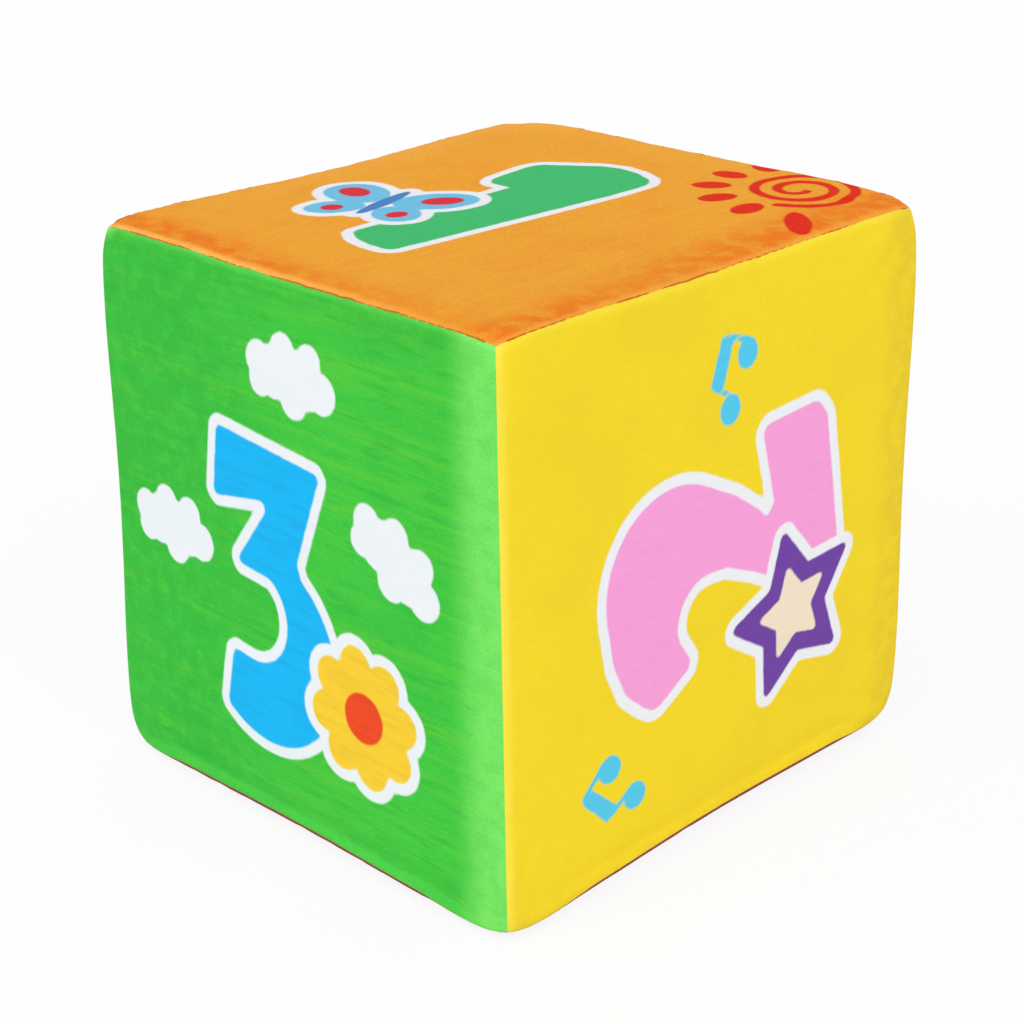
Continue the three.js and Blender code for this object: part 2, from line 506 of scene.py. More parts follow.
    def placed(self, points: Array) -> Array:
        """Moves points from the true cube to the sewn one and into the frame, flat where it rests.

        Args:
            points: places from the middle of the cube, in millimetres.

        Returns:
            Places in the frame, in metres.
        """
        sewn = self.skew.moved(self.rounded(self.slipped(self.strayed(points))), self.half)
        sewn[:, 2] = np.maximum(sewn[:, 2], -self.half)
        return (sewn + [0, 0, self.half]) * MM


class Shape:
    """A flat printed shape, known by its signed distance, which is negative inside."""

    def __init__(self, distance: Callable[[Array, Array], Array]) -> None:
        """Keeps the distance.

        Args:
            distance: gives the signed distance at places x and y.
        """
        self.distance = distance

    def moved(self, x: float, y: float, turn: float = 0, size: float = 1) -> "Shape":
        """Puts a copy somewhere else.

        Args:
            x: where its origin goes, to the right.
            y: where its origin goes, up.
            turn: degrees anticlockwise.
            size: factor on its size.

        Returns:
            The copy.
        """
        cosine, sine = math.cos(math.radians(turn)), math.sin(math.radians(turn))

        def distance(px: Array, py: Array) -> Array:
            """The distance, measured in the shape's own place and size."""
            dx, dy = (px - x) / size, (py - y) / size
            return self.distance(cosine * dx + sine * dy, cosine * dy - sine * dx) * size

        return Shape(distance)

    def joined(self, *others: "Shape") -> "Shape":
        """This shape with others as one."""
        return together([self, *others])

    def cut(self, other: "Shape") -> "Shape":
        """This shape without another."""
        return Shape(lambda x, y: np.maximum(self.distance(x, y), -other.distance(x, y)))

    def grown(self, by: float) -> "Shape":
        """This shape with a border added all round."""
        return Shape(lambda x, y: self.distance(x, y) - by)


def together(shapes: Sequence[Shape]) -> Shape:
    """Several shapes as one."""
    return Shape(lambda x, y: np.min([shape.distance(x, y) for shape in shapes], axis=0))


def polygon(points: Sequence[Point]) -> Shape:
    """Makes a shape from a closed outline.

    Args:
        points: corners of the outline, in order.

    Returns:
        The shape.
    """
    start = np.array(points, float)
    step = np.roll(start, -1, axis=0) - start

    def distance(x: Array, y: Array) -> Array:
        """Distance to the nearest side, negative where the outline winds round the point."""
        from_x = x[:, None] - start[:, 0]
        from_y = y[:, None] - start[:, 1]
        share = (from_x * step[:, 0] + from_y * step[:, 1]) / (step**2).sum(axis=1)
        share = np.clip(share, 0, 1)
        away = np.hypot(from_x - share * step[:, 0], from_y - share * step[:, 1]).min(axis=1)
        end_y = start[:, 1] + step[:, 1]
        crosses = (start[:, 1] > y[:, None]) != (end_y > y[:, None])
        rise = np.where(step[:, 1] == 0, 1, step[:, 1])
        crosses &= from_x < step[:, 0] * from_y / rise
        return np.where(crosses.sum(axis=1) % 2 == 1, -away, away)

    return Shape(distance)


ARC_STEP = 5
SPIRAL_POINTS = 22


def arc(centre: Point, radius: float, start: float, end: float, squash: float = 1) -> list[Point]:
    """Points along an arc, about ARC_STEP degrees from each other.

    Args:
        centre: middle of the arc.
        radius: its radius.
        start: angle of its first point, in degrees.
        end: angle of its last point, in degrees.
        squash: height of the arc as a share of its width.

    Returns:
        The points.
    """
    count = max(3, round(abs(end - start) / ARC_STEP) + 1)
    angles = np.radians(np.linspace(start, end, count))
    return [
        (centre[0] + radius * math.cos(angle), centre[1] + squash * radius * math.sin(angle))
        for angle in angles
    ]


def disc(x: float, y: float, radius: float) -> Shape:
    """A round spot."""
    return Shape(lambda px, py: np.hypot(px - x, py - y) - radius)


def oval(width: float, height: float) -> Shape:
    """An oval round the origin."""
    return polygon(arc((0, 0), width / 2, 0, 360 - ARC_STEP, height / width))


def softened(points: Sequence[Point], cut: float = 0.7, most: float = 0.25) -> list[Point]:
    """Cuts the corners of a closed outline off, so that it bends more evenly.

    Args:
        points: corners of the outline, in order.
        cut: longest piece of a side that a cut takes away.
        most: largest share of a side that a cut takes away.

    Returns:
        The corners that the cuts leave, two for each one before.
    """
    corners = np.array(points, float)
    before, after = np.roll(corners, 1, axis=0), np.roll(corners, -1, axis=0)
    ends = []
    for other in (before, after):
        side = other - corners
        share = np.minimum(most, cut / np.hypot(side[:, 0], side[:, 1]))
        ends.append(corners + share[:, None] * side)
    return [tuple(place) for place in np.stack(ends, axis=1).reshape(-1, 2)]


def bar(start: Point, end: Point, width: float) -> Shape:
    """A straight stroke with square ends.

    Args:
        start: middle of one end.
        end: middle of the other end.
        width: width of the stroke.

    Returns:
        The stroke.
    """
    along = np.subtract(end, start)
    side = np.array([-along[1], along[0]]) / np.hypot(*along) * width / 2
    first, last = np.array(start), np.array(end)
    return polygon([first + side, last + side, last - side, first - side])


def bowl(centre: Point, radius: float, width: float, start: float, end: float) -> Shape:
    """A stroke bent round a circle, with square ends.

    Args:
        centre: middle of the circle.
        radius: outer radius.
        width: width of the stroke.
        start: angle of one end, in degrees.
        end: angle of the other end.

    Returns:
        The stroke.
    """
    return polygon([*arc(centre, radius, start, end), *arc(centre, radius - width, end, start)])


def numeral_one() -> Shape:
    """A block figure 1 with a broad flag and a rounded head."""
    foot = [(-12, -39.5), (-7, -42.5), (-1, -43.8), (5.5, -43.8)]
    head = [(11.8, 25), (12, 37), (9.5, 40), (3, 42.8), (-3.5, 43.8), (-9, 42.5)]
    flag = [(-23, 33.5), (-23.8, 30), (-22.5, 17), (-20.5, 14.7), (-12, 14.7)]
    return polygon(softened([*foot, *head, *flag])).grown(1.5)


def numeral_two() -> Shape:
    """A block figure 2 with an open hook, a broad foot and rounded corners."""
    end = [(-24, 13.5), (-30.5, 24.2), (-28.5, 27.3), (-23, 33.3), (-14, 37.5)]
    hook = [*arc((1.5, 19), 21.2, 100, -30), (14, -2.5), (7.3, -11.5), (4.6, -14), (4.8, -17)]
    foot = [(8.8, -19.8), (29, -14.8), (30, -33), (26.5, -36), (-13, -42.5), (-16, -39.5)]
    hollow = [(-14, -26), (-6, -12), (-1, -1), *arc((-12.8, 6.2), 12.4, 0, 115)]
    return polygon(softened([*end, *hook, *foot, *hollow])).grown(1.8)


def numeral_three() -> Shape:
    """A block figure 3 with a flat top and a pointed tail."""
    belly = arc((-9, -24), 25.5, 58, -128)
    hollow = arc((-13.7, -16), 13.8, -97, 62)
    notch = [(-19, -2.8), (-7.2, 12.3), (-7, 14.4), (-8.2, 16), (-10, 16.4)]
    head = [(-28, 13.2), (-25.6, 30.6), (12.4, 27.2), (2.6, 2.4)]
    return polygon(softened([*belly, (-21.8, -29), *hollow, *notch, *head])).grown(1)


def numeral_four() -> Shape:
    """A block figure 4 with an open corner."""
    slope = [(-35, -9.9), (-3, 47.9), (11, 40.1), (-14.6, -6)]
    beam = [(31, -6), (31, -22), (-34, -22)]
    return polygon(softened([*slope, *beam])).joined(bar((9, 14), (9, -43), 17))


def numeral_five() -> Shape:
    """A block figure 5 with a flat top."""
    return bowl((-3, -15), 28, 17, -148, 142).joined(
        bar((-22, 36), (22, 36), 16), bar((-14, 36), (-17.1, 2.6), 16)
    )


def numeral_six() -> Shape:
    """A block figure 6 with a round belly."""
    belly = disc(0, -15, 28).cut(disc(0, -15, 10.5))
    return belly.joined(bowl((30, -14), 58, 17, 180, 114))


def cloud() -> Shape:
    """A plain puffed cloud."""
    upper = [(-11.7, 2, 4.8), (-2.6, 5.8, 4.6), (7.2, 5, 4.5)]
    lower = [(-11, -3, 4.3), (1.5, -5.3, 5), (11.8, -1.6, 5.2)]
    middle = [(-6, 0, 6.8), (0, 0, 7.6), (6, 0, 7)]
    return together([disc(*puff) for puff in (*upper, *lower, *middle)])


def note_pair() -> Shape:
    """Two plain notes under one broad beam, round the middle of their heads."""
    head = oval(8, 7.4)
    stems = [bar((-4.2, 1), (-4, 8), 1.6), bar((9.9, 1.5), (8.4, 10), 1.6)]
    beam = polygon([(-4.7, 9.4), (8.6, 11.5), (7.9, 6.9), (-3.4, 4.7)])
    return head.moved(-7.3, -0.4, 20).joined(head.moved(6.7, 0.3, 20), *stems, beam)


def spiral(radius: float, turns: float, width: float, power: float = 0.8) -> Shape:
    """A stroke that winds out clockwise from the origin, with SPIRAL_POINTS points in a turn.

    Args:
        radius: reach of its outer end.
        turns: how often it goes round.
        width: width of the stroke.
        power: how its reach grows with the angle, 1 for evenly.

    Returns:
        The stroke.
    """
    angles = np.linspace(0, 2 * math.pi * turns, round(SPIRAL_POINTS * turns))
    reach = (radius - width) * (angles / angles[-1]) ** power
    inner = [(r * math.cos(t), -r * math.sin(t)) for r, t in zip(reach, angles)]
    outer = [(r * math.cos(t), -r * math.sin(t)) for r, t in zip(reach + width, angles)]
    return polygon([*inner, *reversed(outer)])


def sun() -> Shape:
    """A plain rising sun: a spiral for its disc, and rays on one side that end in a large one."""
    short_ray, long_ray = oval(10.8, 7.2), oval(18, 6.8).moved(0, 0, 9)
    rays = [(short_ray, 24.4, 155 + 29.5 * index) for index in range(5)] + [(long_ray, 30.5, 306)]
    shapes = [ray.moved(reach, 0).moved(0, 0, turn) for ray, reach, turn in rays]
    return spiral(17.5, 2.3, 3).moved(-0.7, -1.6, 33).joined(*shapes)


def flower(petals: int, radius: float) -> tuple[Shape, Shape]:
    """A plain flower.

    Args:
        petals: how many petals stand round its eye.
        radius: reach of the petals.

    Returns:
        The petals and the eye.
    """
    length, width, reach = 0.72 * radius, 0.62 * radius, 0.64 * radius
    heart, eye = disc(0, 0, 0.5 * radius), disc(0, 0, 0.36 * radius)
    petal = oval(length, width).moved(reach, 0)
    ring = [petal.moved(0, 0, 360 * index / petals) for index in range(petals)]
    return heart.joined(*ring), eye


def star(radius: float, points: int = 5, waist: float = 0.52) -> Shape:
    """A plain star.

    Args:
        radius: reach of its points.
        points: how many it has.
        waist: reach between two points as a share of the radius.

    Returns:
        The star.
    """
    corners = []
    for index in range(2 * points):
        reach = radius if index % 2 == 0 else radius * waist
        angle = math.radians(90 + 180 * index / points)
        corners.append((reach * math.cos(angle), reach * math.sin(angle)))
    return polygon(corners)


def butterfly() -> tuple[Shape, Shape, Shape]:
    """A plain butterfly: its wings, the spots on them and its body."""
    upper, lower = oval(24, 17), oval(17, 13)
    upper_spot, lower_spot = oval(12, 8), disc(0, 0, 3.2)
    wings, spots = [], []
    for side in (1, -1):
        wings += [upper.moved(13 * side, 6, 28 * side), lower.moved(10 * side, -9, -35 * side)]
        spots += [upper_spot.moved(14.5 * side, 7, 28 * side), lower_spot.moved(10.5 * side, -9.5)]
    return together(wings), together(spots), oval(5, 26)


class Ink(Enum):
    """The printing inks, as display colours."""

    WHITE = (236, 239, 245)
    SKY = (12, 181, 248)
    PINK = (246, 158, 219)
    LEAF = (44, 187, 112)
    SUN_RED = (222, 24, 8)
    NOTE_BLUE = (78, 200, 238)
    YELLOW = (250, 204, 52)
    POPPY = (240, 66, 32)
    VIOLET = (106, 58, 165)
    CREAM = (240, 226, 204)
    PALE_BLUE = (104, 192, 230)
    RUBY = (214, 34, 58)
    DEEP_BLUE = (54, 128, 196)
    APRICOT = (248, 170, 80)

    @property
    def linear(self) -> Colour:
        """The ink in linear light."""
        return srgb(*self.value)


@dataclass(frozen=True)
class PrintLayer:
    """One ink of a panel's print, laid over the ones before it."""

    name: str
    ink: Ink
    shape: Shape


WHITE_BORDER = 3.0


def bordered(*inks: tuple[str, Ink, Shape]) -> list[PrintLayer]:
    """Puts a white border under a group of inks.

    Args:
        inks: name, ink and shape of each layer.

    Returns:
        The border and the layers.
    """
    border = together([shape for _, _, shape in inks]).grown(WHITE_BORDER)
    name = inks[0][0] + "_border"
    return [PrintLayer(name, Ink.WHITE, border)] + [PrintLayer(*ink) for ink in inks]


def top_print() -> list[PrintLayer]:
    """Figure 1 in green, a butterfly and a red sun that runs into the back seam."""
    wings, spots, body = [shape.moved(-29, -17, 16, 0.95) for shape in butterfly()]
    return [
        *bordered(("figure", Ink.LEAF, numeral_one())),
        *bordered(
            ("wings", Ink.PALE_BLUE, wings),
            ("spots", Ink.RUBY, spots),
            ("body", Ink.DEEP_BLUE, body),
        ),
        PrintLayer("sun", Ink.SUN_RED, sun().moved(47, 61)),
    ]


def front_print() -> list[PrintLayer]:
    """Figure 3 in blue, a yellow flower and three white clouds."""
    petals, eye = [shape.moved(27, -31, 10) for shape in flower(8, 19)]
    places = [(3.6, 50.3, 0), (-47.2, -1.5, 0), (40, 14, -27)]
    clouds = together([cloud().moved(*place) for place in places])
    return [
        PrintLayer("clouds", Ink.WHITE, clouds),
        *bordered(("figure", Ink.SKY, numeral_three())),
        *bordered(("petals", Ink.YELLOW, petals), ("eye", Ink.POPPY, eye)),
    ]


def right_print() -> list[PrintLayer]:
    """Figure 2 in pink, lying on its side, a violet star and two pairs of notes."""
    place = (27, -24, 12)
    notes = note_pair().moved(3.8, 45.1, 62).joined(note_pair().moved(-35.6, -47.2, 126))
    return [
        PrintLayer("notes", Ink.NOTE_BLUE, notes),
        *bordered(("figure", Ink.PINK, numeral_two().moved(0, 0, 90))),
        *bordered(
            ("star", Ink.VIOLET, star(22).grown(1.5).moved(*place)),
            ("star_middle", Ink.CREAM, star(12).grown(1).moved(*place)),
        ),
    ]


def back_print() -> list[PrintLayer]:
    """Figure 4 in yellow and an apricot flower."""
    petals, eye = [shape.moved(43, 40, 0) for shape in flower(6, 15)]
    return [
        *bordered(("figure", Ink.YELLOW, numeral_four())),
        *bordered(("petals", Ink.APRICOT, petals), ("eye", Ink.CREAM, eye)),
    ]


def left_print() -> list[PrintLayer]:
    """Figure 5 in red and two clouds."""
    clouds = cloud().moved(-44, 46, 6).joined(cloud().moved(45, -42, -6))
    return [
        PrintLayer("clouds", Ink.WHITE, clouds),
        *bordered(("figure", Ink.POPPY, numeral_five())),
    ]


def bottom_print() -> list[PrintLayer]:
    """Figure 6 in cream and a yellow star."""
    place = (45, 42, -10)
    return [
        *bordered(("figure", Ink.CREAM, numeral_six())),
        *bordered(("star", Ink.YELLOW, star(16).grown(1.5).moved(*place))),
    ]


class Shader:
    """Builds the nodes of one material."""

    # The colour's place among the results of a mix node.
    COLOUR_RESULT = 2

    def __init__(self, name: str) -> None:
        """Starts a material with an empty principled surface.

        Args:
            name: name of the material.
        """
        self.material = bpy.data.materials.new(name)
        self.material.use_nodes = True
        self.tree = self.material.node_tree
        self.surface = self.tree.nodes["Principled BSDF"]

    def fill(self, socket: Socket, value: object) -> None:
        """Links a socket to another one, or sets its value.

        Args:
            socket: the input.
            value: a socket, a number or a colour.
        """
        if isinstance(value, bpy.types.NodeSocket):
            self.tree.links.new(value, socket)
        elif socket.type == "RGBA":
            socket.default_value = (*value, 1)
        else:
            socket.default_value = value

    def node(self, kind: str, inputs: dict[str, object], **settings: object) -> bpy.types.Node:
        """Adds a node.

        Args:
            kind: Blender's name of the node.
            inputs: what goes into its sockets, by identifier.
            settings: its own options.

        Returns:
            The node.
        """
        made = self.tree.nodes.new(kind)
        for name, value in settings.items():
            setattr(made, name, value)
        sockets = {socket.identifier: socket for socket in made.inputs}
        for name, value in inputs.items():
            self.fill(sockets[name], value)
        return made

    def attribute(self, name: str) -> bpy.types.Node:
        """Reads a value that the mesh carries."""
        return self.node("ShaderNodeAttribute", {}, attribute_name=name)

    def noise(self, place: Socket, scale: float, detail: float, roughness: float) -> Socket:
        """Noise from 0 to 1.

        Args:
            place: coordinates.
            scale: humps in a unit of them.
            detail: octaves.
            roughness: strength of the finer octaves.

        Returns:
            The noise.
        """
        inputs = {"Vector": place, "Scale": scale, "Detail": detail, "Roughness": roughness}
        return self.node("ShaderNodeTexNoise", inputs).outputs["Fac"]

    def math(self, operation: str, first: object, second: object) -> Socket:
        """One sum on two numbers."""
        inputs = {"Value": first, "Value_001": second}
        return self.node("ShaderNodeMath", inputs, operation=operation).outputs[0]

    def ramp(self, value: Socket, low: float, high: float, start: float = 0, end: float = 1) -> Socket:
        """Maps a range smoothly to another.

        Args:
            value: what is mapped.
            low: where the rise starts.
            high: where it ends.
            start: result at low.
            end: result at high.

        Returns:
            The mapped value.
        """
        inputs = {"Value": value, "From Min": low, "From Max": high, "To Min": start, "To Max": end}
        made = self.node("ShaderNodeMapRange", inputs, interpolation_type="SMOOTHSTEP")
        return made.outputs[0]

    def mix(self, share: object, first: object, second: object, blend: str = "MIX") -> Socket:
        """Mixes two colours.

        Args:
            share: how much of the second.
            first: a colour.
            second: a colour.
            blend: how the second is laid on the first.

        Returns:
            The mixed colour.
        """
        inputs = {"Factor_Float": share, "A_Color": first, "B_Color": second}
        made = self.node("ShaderNodeMix", inputs, data_type="RGBA", blend_type=blend)
        return made.outputs[self.COLOUR_RESULT]

    def grey(self, level: Socket) -> Socket:
        """A grey of a given level."""
        inputs = {"Red": level, "Green": level, "Blue": level}
        return self.node("ShaderNodeCombineColor", inputs).outputs[0]

    def stretched(self, place: Socket, factors: tuple[float, float, float]) -> Socket:
        """Coordinates multiplied by a factor along each axis."""
        inputs = {"Vector": place, "Vector_001": factors}
        return self.node("ShaderNodeVectorMath", inputs, operation="MULTIPLY").outputs[0]

    def dull(self, roughness: float, shine: float) -> None:
        """Sets how rough the surface is and how much it shines."""
        self.surface.inputs["Roughness"].default_value = roughness
        self.surface.inputs["Specular IOR Level"].default_value = shine

    def bump(self, height: Socket, strength: float, distance: float) -> None:
        """Roughens the surface.

        Args:
            height: relief from 0 to 1.
            strength: share of it that shows.
            distance: its height in metres.
        """
        inputs = {"Height": height, "Strength": strength, "Distance": distance}
        made = self.node("ShaderNodeBump", inputs)
        self.fill(self.surface.inputs["Normal"], made.outputs["Normal"])


@dataclass(frozen=True)
class SeamBand:
    """A strip along one seam of a panel where the pile lies another way, and where painted light lies
    too: a paler strip paints highlight on the rolled edge, a deeper one paints shade along the seam.
    """

    towards: Face
    width: float
    share: float
    near: Face | None = None
    run: float = 60.0
    solid: float = 0.3

    def weight(self, face: Face, reach: float, a: Array, b: Array) -> Array:
        """How strongly the strip shows.

        Args:
            face: face that the panel covers.
            reach: cloth from the middle of the panel to its seam.
            a: cloth coordinates to the right.
            b: cloth coordinates upwards.

        Returns:
            Shares from 0 to 1.
        """

        def faded(side: Face, length: float) -> Array:
            """Shares that fade over a length of cloth from the seam towards one side."""
            right, up, _ = face.axes @ side.normal
            inward = reach - (a * right + b * up)
            return 1 - smooth_step(self.solid * length, length, inward)

        shares = self.share * faded(self.towards, self.width)
        return shares if self.near is None else shares * faded(self.near, self.run)


@dataclass(frozen=True)
class PileNoise:
    """One kind of noise in the pile, and the part of its range in which it shows.

    Its scale is humps in a millimetre of cloth. A pitch draws it out into streaks, as humps along
    them and across them.
    """

    scale: float
    octaves: float
    roughness: float
    shows_from: float
    shows_fully: float
    pitch: Point | None = None

    def made(self, shader: Shader, cloth: Socket, up: bool) -> Socket:
        """Adds the noise to a material.

        Args:
            shader: nodes of the material.
            cloth: coordinates on the cloth.
            up: whether streaks run up the panel and not to its right.

        Returns:
            The noise, from 0 to 1.
        """
        if self.pitch is not None:
            along, across = self.pitch
            cloth = shader.stretched(cloth, (across, along, 1) if up else (along, across, 1))
        return shader.noise(cloth, self.scale, self.octaves, self.roughness)

    def shown(self, shader: Shader, noise: Socket, low: float, high: float) -> Socket:
        """Maps the part of the noise that shows to a range of shares."""
        return shader.ramp(noise, self.shows_from, self.shows_fully, low, high)


PATCHES = PileNoise(scale=0.035, octaves=3, roughness=0.55, shows_from=0.45, shows_fully=0.7)
BLOTCHES = PileNoise(scale=0.17, octaves=3, roughness=0.6, shows_from=0.35, shows_fully=0.6)
TUFTS = PileNoise(scale=0.45, octaves=2, roughness=0.55, shows_from=0.5, shows_fully=0.8)
GRAIN = PileNoise(scale=1.9, octaves=2, roughness=0.6, shows_from=0.25, shows_fully=0.75)
LINES = PileNoise(
    scale=1.0, octaves=3, roughness=0.6, shows_from=0.42, shows_fully=0.66, pitch=(0.012, 0.3)
)
STROKES = PileNoise(
    scale=1.0, octaves=2, roughness=0.6, shows_from=0.5, shows_fully=0.72, pitch=(0.07, 0.4)
)


@dataclass(frozen=True)
class PlushFinish:
    """Short-pile printed plush: its ground colour, nap and streaks, and the strips along its seams,
    which add painted highlight and painted shade.

    Nap, tufts, grain, streak and wear are shares of each that show. The edge of the ink and the
    height of the pile are millimetres.
    """

    slot: str
    ground: Colour
    deep: Colour
    pale: Colour
    nap: float = 0.6
    tufts: float = 0.24
    grain: float = 0.05
    relief: float = 0.4
    sheen: float = 0.22
    streak: float = 0.0
    streak_tone: Colour = srgb(255, 255, 255)
    streaks_up: bool = False
    wear: float = 0.12
    paler_and_lit: tuple[SeamBand, ...] = ()
    deeper_and_shaded: tuple[SeamBand, ...] = ()
    pale_floor: float = 0.75
    deep_floor: float = 0.3
    backing: Colour = srgb(236, 232, 224)
    fray: float = 0.4
    ink_edge: Point = (-0.45, 0.35)
    worn_from: float = 0.4
    worn_fully: float = 0.7
    worn_light: float = 0.75
    roughness: float = 0.95
    shine: float = 0.15
    sheen_roughness: float = 0.45
    grain_height: float = 0.5
    tuft_height: float = 0.6
    pile_height: float = 0.5

    def made(self, name: str, layers: Sequence[PrintLayer]) -> bpy.types.Material:
        """Builds the material of one panel.

        Args:
            name: name of the material.
            layers: inks of its print, from the first laid down to the last.

        Returns:
            The material.
        """
        shader = Shader(name)
        cloth = shader.attribute("cloth").outputs["Vector"]
        kinds = (TUFTS, GRAIN, STROKES)
        tufts, grain, strokes = (kind.made(shader, cloth, self.streaks_up) for kind in kinds)
        colour = self.dyed(shader, cloth, tufts, strokes)
        shade = GRAIN.shown(shader, grain, 1 - self.grain, 1 + self.grain / 2)
        colour = shader.mix(1.0, colour, shader.grey(shade), "MULTIPLY")
        colour = self.printed(shader, colour, layers, tufts, strokes)
        colour = shader.mix(shader.attribute("pile").outputs["Fac"], self.backing, colour)
        shader.fill(shader.surface.inputs["Base Color"], colour)
        shader.dull(self.roughness, self.shine)
        shader.surface.inputs["Sheen Weight"].default_value = self.sheen
        shader.surface.inputs["Sheen Roughness"].default_value = self.sheen_roughness
        shader.surface.inputs["Sheen Tint"].default_value = (*self.pale, 1)
        fine = shader.math("MULTIPLY", grain, self.grain_height)
        coarse = shader.math("MULTIPLY", tufts, self.tuft_height)
        shader.bump(shader.math("ADD", fine, coarse), self.relief, self.pile_height * MM)
        return shader.material

    def dyed(self, shader: Shader, cloth: Socket, tufts: Socket, strokes: Socket) -> Socket:
        """Mixes the colours of the cloth itself, with the strips along its seams, which paint highlight
        and shade into it.

        Args:
            shader: nodes of the material.
            cloth: coordinates on the cloth.
            tufts: noise of the tufts.
            strokes: noise of the brushed strokes.

        Returns:
            The colour before printing.
        """
        patches = PATCHES.made(shader, cloth, self.streaks_up)
        colour = shader.mix(PATCHES.shown(shader, patches, 0, self.nap), self.ground, self.deep)
        colour = shader.mix(TUFTS.shown(shader, tufts, 0, self.tufts), colour, self.pale)
        if self.streak:
            lines = LINES.made(shader, cloth, self.streaks_up)
            colour = shader.mix(LINES.shown(shader, lines, 0, self.streak), colour, self.streak_tone)
            colour = shader.mix(STROKES.shown(shader, strokes, 0, self.streak), colour, self.deep)
        blotches = BLOTCHES.made(shader, cloth, self.streaks_up)
        # Painted light: the deeper strips paint shade and the paler strips paint highlight along the
        # seams, blotched by the pile.
        strips = (("deeper_and_shaded", self.deep, self.deep_floor), ("paler_and_lit", self.pale, self.pale_floor))
        for strip, tone, low in strips:
            patchy = BLOTCHES.shown(shader, blotches, low, 1)
            lies = shader.math("MULTIPLY", shader.attribute(strip).outputs["Fac"], patchy)
            colour = shader.mix(lies, colour, tone)
        return colour

    def printed(
        self,
        shader: Shader,
        colour: Socket,
        layers: Sequence[PrintLayer],
        tufts: Socket,
        strokes: Socket,
    ) -> Socket:
        """Lays the inks on the cloth, frayed by its tufts and worn along its strokes.

        Args:
            shader: nodes of the material.
            colour: the cloth before printing.
            layers: inks of the print, from the first laid down to the last.
            tufts: noise of the tufts.
            strokes: noise of the brushed strokes.

        Returns:
            The printed colour.
        """
        jitter = shader.math("MULTIPLY", shader.math("SUBTRACT", tufts, 0.5), self.fray)
        worn = shader.ramp(strokes, self.worn_from, self.worn_fully, 0, self.wear)
        for layer in layers:
            edge = shader.math("ADD", shader.attribute(layer.name).outputs["Fac"], jitter)
            ink = layer.ink.linear
            if layer.ink is not Ink.WHITE:
                ink = shader.mix(worn, ink, tuple(self.worn_light * light for light in ink))
            colour = shader.mix(shader.ramp(edge, *self.ink_edge, 1, 0), colour, ink)
        return colour


@dataclass(frozen=True)
class FoamFinish:
    """Open-cell polyurethane foam."""

    slot: str = "foam"
    light: Colour = srgb(243, 236, 216)
    dark: Colour = srgb(214, 200, 168)
    cells_in_metre: float = 900.0
    cell_edge: Point = (0.1, 0.6)
    roughness: float = 1.0
    shine: float = 0.1
    relief: float = 0.7
    cell_depth: float = 0.5

    def made(self, name: str) -> bpy.types.Material:
        """Builds the material.

        Args:
            name: name of the material.

        Returns:
            The material.
        """
        shader = Shader(name)
        place = shader.node("ShaderNodeTexCoord", {}).outputs["Object"]
        inputs = {"Vector": place, "Scale": self.cells_in_metre}
        cells = shader.node("ShaderNodeTexVoronoi", inputs).outputs["Distance"]
        colour = shader.mix(shader.ramp(cells, *self.cell_edge), self.dark, self.light)
        shader.fill(shader.surface.inputs["Base Color"], colour)
        shader.dull(self.roughness, self.shine)
        shader.bump(cells, self.relief, self.cell_depth * MM)
        return shader.material


@dataclass(frozen=True)
class ThreadFinish:
    """Spun polyester sewing thread with its two-ply twist."""

    slot: str = "sewing_thread"
    light: Colour = srgb(222, 126, 30)
    dark: Colour = srgb(166, 82, 12)
    twist: float = 0.9
    twist_waver: float = 0.6
    roughness: float = 0.7
    shine: float = 0.2
    relief: float = 0.5
    ply_depth: float = 0.1

    def made(self, name: str) -> bpy.types.Material:
        """Builds the material.

        Args:
            name: name of the material.

        Returns:
            The material.
        """
        shader = Shader(name)
        place = shader.attribute("cloth").outputs["Vector"]
        inputs = {"Vector": place, "Scale": self.twist, "Distortion": self.twist_waver}
        wave = shader.node("ShaderNodeTexWave", inputs, bands_direction="DIAGONAL")
        plies = wave.outputs["Fac"]
        shader.fill(shader.surface.inputs["Base Color"], shader.mix(plies, self.dark, self.light))
        shader.dull(self.roughness, self.shine)
        shader.bump(plies, self.relief, self.ply_depth * MM)
        return shader.material


def linked(name: str, points: Array, faces: Sequence[Sequence[int]]) -> bpy.types.Object:
    """Makes a smooth mesh object.

    Args:
        name: name of the piece.
        points: rows of places in the frame, in metres.
        faces: corners of each face, outside anticlockwise.

    Returns:
        The object, in the scene.
    """
    mesh = bpy.data.meshes.new(name)
    mesh.from_pydata(points.tolist(), [], [list(map(int, face)) for face in faces])
    mesh.polygons.foreach_set("use_smooth", np.ones(len(mesh.polygons), bool))
    mesh.update()
    piece = bpy.data.objects.new(name, mesh)
    bpy.context.scene.collection.objects.link(piece)
    return piece


def carry(piece: bpy.types.Object, name: str, values: Array) -> None:
    """Stores a value, or a row of three, at each point of a mesh.

    Args:
        piece: the mesh object.
        name: name that its material reads.
        values: one value or row for each point.
    """
    kind, key = ("FLOAT", "value") if values.ndim == 1 else ("FLOAT_VECTOR", "vector")
    made = piece.data.attributes.new(name, kind, "POINT")
    made.data.foreach_set(key, values.astype(np.float32).ravel())


def point_normals(points: Array, quads: Array) -> Array:
    """Works out the outward direction at each point of a grid.

    Args:
        points: rows of places.
        quads: corners of each face.

    Returns:
        Rows of unit directions.
    """
    first, second, third, fourth = (points[quads[:, corner]] for corner in range(4))
    square = np.cross(third - first, fourth - second)
    total = np.zeros_like(points)
    for corner in range(4):
        np.add.at(total, quads[:, corner], square)
    return total / np.maximum(np.linalg.norm(total, axis=1, keepdims=True), TINY)


